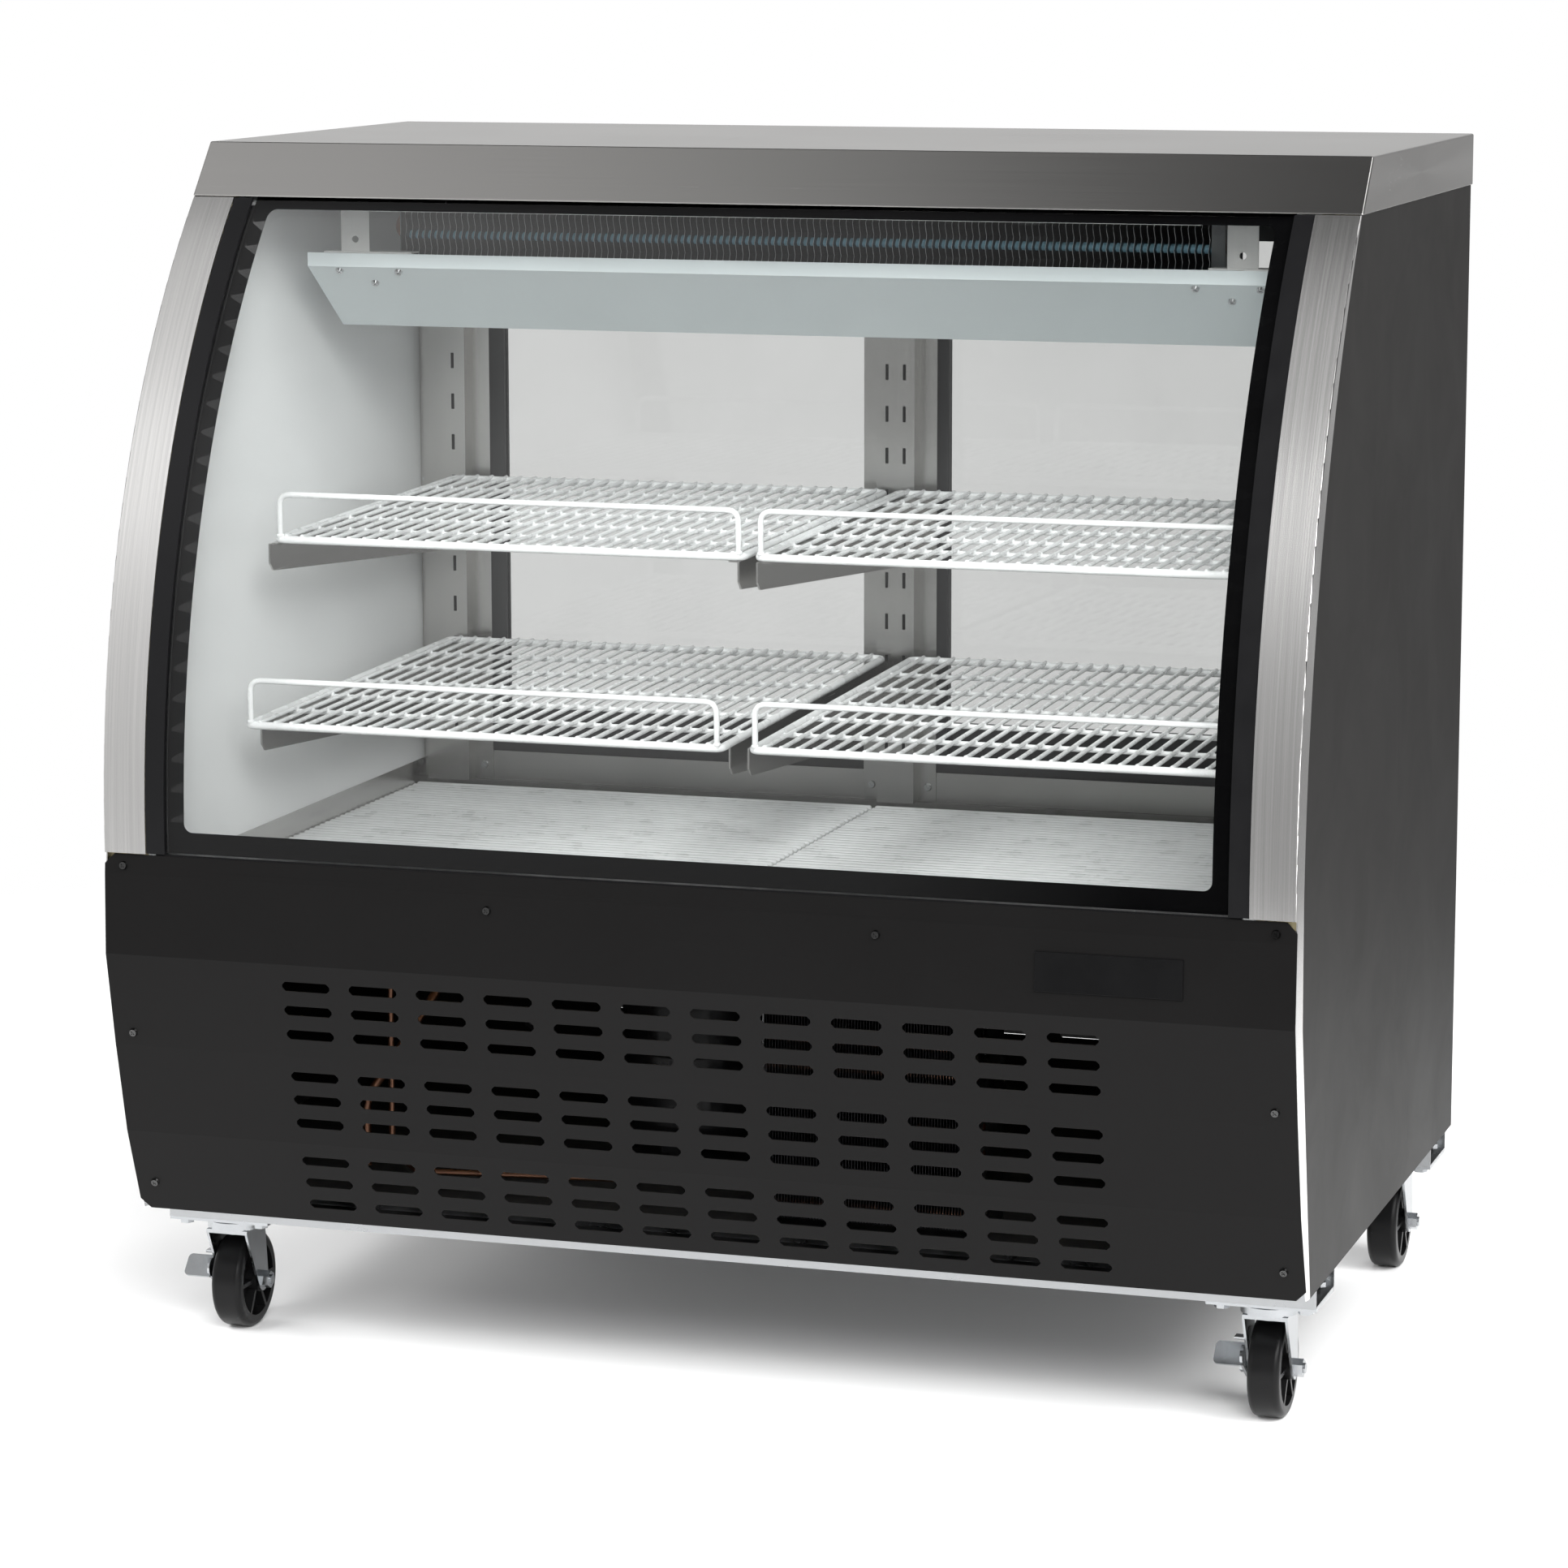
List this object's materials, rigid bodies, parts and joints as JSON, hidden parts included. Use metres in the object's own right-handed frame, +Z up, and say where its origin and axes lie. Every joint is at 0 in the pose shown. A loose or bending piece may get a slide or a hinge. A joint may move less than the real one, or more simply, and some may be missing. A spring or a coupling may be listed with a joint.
{
  "type": "refrigerated deli case",
  "caption": "Refrigerated deli case with a curved glass front, wire shelves, sliding rear glass doors and a slotted machine compartment, standing on swivel casters.",
  "frame": {"origin": "on the floor, under the middle of the case's bounding box", "axes": "+X to the right seen from the glass front, +Y to the sliding doors at the back, +Z up"},
  "size_m": [1.202, 0.8303, 1.213],
  "materials": {
    "stainless": "brushed",
    "galvanised": "satin zinc coated sheet",
    "zinc": "bright zinc plate",
    "wheel_black": "moulded hard plastic",
    "charcoal_paint": "satin fine texture",
    "black_paint": "satin",
    "white_liner": "semi gloss",
    "white_enamel": "semi gloss",
    "foam": "polyurethane foam",
    "black_gasket": "glossy extrusion",
    "clear_glass": "tempered, curved",
    "door_pane": "double glazed pane",
    "black_enamel": "ceramic ink behind glass",
    "screw_black": "black oxide",
    "badge_black": "satin plate",
    "white_wire": "vinyl coated steel wire",
    "aluminium_fins": "finned coil",
    "fan_black": "moulded",
    "lamp_diffuser": "translucent diffuser",
    "door_black": "extruded, satin",
    "controller_black": "moulded",
    "gland_grey": "moulded",
    "compressor_black": "gloss paint",
    "copper": "drawn tube"
  },
  "bodies": {
    "cabinet": {"caster_plates": "zinc", "caster_bolts": "zinc", "base_frame": "galvanised", "side_panel_left": "charcoal_paint", "side_panel_right": "charcoal_paint", "side_liner_left": "white_liner", "side_liner_right": "white_liner", "wall_insulation": "foam", "top_cover": "stainless", "ceiling_liner": "white_liner", "front_trim_left": "stainless", "front_trim_right": "stainless", "glass_gaskets": "black_gasket", "front_glass": "clear_glass", "glass_border": "black_enamel", "front_panel": "black_paint", "screws": "screw_black", "badge": "badge_black", "deck_pan": "stainless", "rear_sill": "stainless", "pilaster_left": "stainless", "pilaster_centre": "stainless", "pilaster_right": "stainless", "shelf_brackets": "stainless", "shelf_upper_left": "white_wire", "shelf_upper_right": "white_wire", "shelf_lower_left": "white_wire", "shelf_lower_right": "white_wire", "floor_rack_left": "white_wire", "floor_rack_right": "white_wire", "drip_tray": "white_enamel", "tray_hangers": "stainless", "evaporator_coil": "aluminium_fins", "evaporator_fan_shroud": "galvanised", "lamp": "lamp_diffuser", "door_surround": "door_black", "rear_panel": "charcoal_paint", "controller": "controller_black", "power_gland": "gland_grey", "compressor": "compressor_black", "condenser_coil": "aluminium_fins", "condenser_shroud": "galvanised", "refrigerant_pipes": "copper"},
    "swivel_front_left": {"caster_fork_front_left": "zinc"},
    "swivel_front_right": {"caster_fork_front_right": "zinc"},
    "swivel_rear_left": {"caster_fork_rear_left": "zinc"},
    "swivel_rear_right": {"caster_fork_rear_right": "zinc"},
    "wheel_front_left": {"caster_wheel_front_left": "wheel_black"},
    "wheel_front_right": {"caster_wheel_front_right": "wheel_black"},
    "wheel_rear_left": {"caster_wheel_rear_left": "wheel_black"},
    "wheel_rear_right": {"caster_wheel_rear_right": "wheel_black"},
    "brake_left": {"brake_lever_front_left": "zinc"},
    "brake_right": {"brake_lever_front_right": "zinc"},
    "evaporator_fan_left": {"evaporator_fan_left": "fan_black"},
    "evaporator_fan_right": {"evaporator_fan_right": "fan_black"},
    "door_left": {"door_frame_left": "door_black", "door_glass_left": "door_pane"},
    "door_right": {"door_frame_right": "door_black", "door_glass_right": "door_pane"},
    "condenser_fan": {"condenser_fan": "fan_black"}
  },
  "joints": [
    {"name": "swivel_front_left", "type": "hinge", "parent": "cabinet", "child": "swivel_front_left", "pos_m": [-0.543, -0.241, 0.115], "axis": [0, 0, 1], "continuous": true},
    {"name": "roll_front_left", "type": "hinge", "parent": "swivel_front_left", "child": "wheel_front_left", "pos_m": [-0.543, -0.223, 0.05], "axis": [1, 0, 0], "continuous": true},
    {"name": "swivel_front_right", "type": "hinge", "parent": "cabinet", "child": "swivel_front_right", "pos_m": [0.543, -0.241, 0.115], "axis": [0, 0, 1], "continuous": true},
    {"name": "roll_front_right", "type": "hinge", "parent": "swivel_front_right", "child": "wheel_front_right", "pos_m": [0.543, -0.223, 0.05], "axis": [1, 0, 0], "continuous": true},
    {"name": "swivel_rear_left", "type": "hinge", "parent": "cabinet", "child": "swivel_rear_left", "pos_m": [-0.543, 0.347, 0.115], "axis": [0, 0, 1], "continuous": true},
    {"name": "roll_rear_left", "type": "hinge", "parent": "swivel_rear_left", "child": "wheel_rear_left", "pos_m": [-0.543, 0.365, 0.05], "axis": [1, 0, 0], "continuous": true},
    {"name": "swivel_rear_right", "type": "hinge", "parent": "cabinet", "child": "swivel_rear_right", "pos_m": [0.543, 0.347, 0.115], "axis": [0, 0, 1], "continuous": true},
    {"name": "roll_rear_right", "type": "hinge", "parent": "swivel_rear_right", "child": "wheel_rear_right", "pos_m": [0.543, 0.365, 0.05], "axis": [1, 0, 0], "continuous": true},
    {"name": "brake_left", "type": "hinge", "parent": "swivel_front_left", "child": "brake_left", "pos_m": [-0.543, -0.223, 0.05], "axis": [1, 0, 0], "range_deg": [0, 20]},
    {"name": "brake_right", "type": "hinge", "parent": "swivel_front_right", "child": "brake_right", "pos_m": [0.543, -0.223, 0.05], "axis": [1, 0, 0], "range_deg": [0, 20]},
    {"name": "slide_left", "type": "slide", "parent": "cabinet", "child": "door_left", "axis": [1, 0, 0], "range_m": [0, 0.455]},
    {"name": "slide_right", "type": "slide", "parent": "cabinet", "child": "door_right", "axis": [1, 0, 0], "range_m": [-0.455, 0]},
    {"name": "spin_evaporator_left", "type": "hinge", "parent": "cabinet", "child": "evaporator_fan_left", "pos_m": [-0.245, 0.171, 1.094], "axis": [0, 1, 0], "continuous": true},
    {"name": "spin_evaporator_right", "type": "hinge", "parent": "cabinet", "child": "evaporator_fan_right", "pos_m": [0.185, 0.171, 1.094], "axis": [0, 1, 0], "continuous": true},
    {"name": "spin_condenser", "type": "hinge", "parent": "cabinet", "child": "condenser_fan", "pos_m": [0.155, -0.212, 0.29], "axis": [0, 1, 0], "continuous": true}
  ]
}
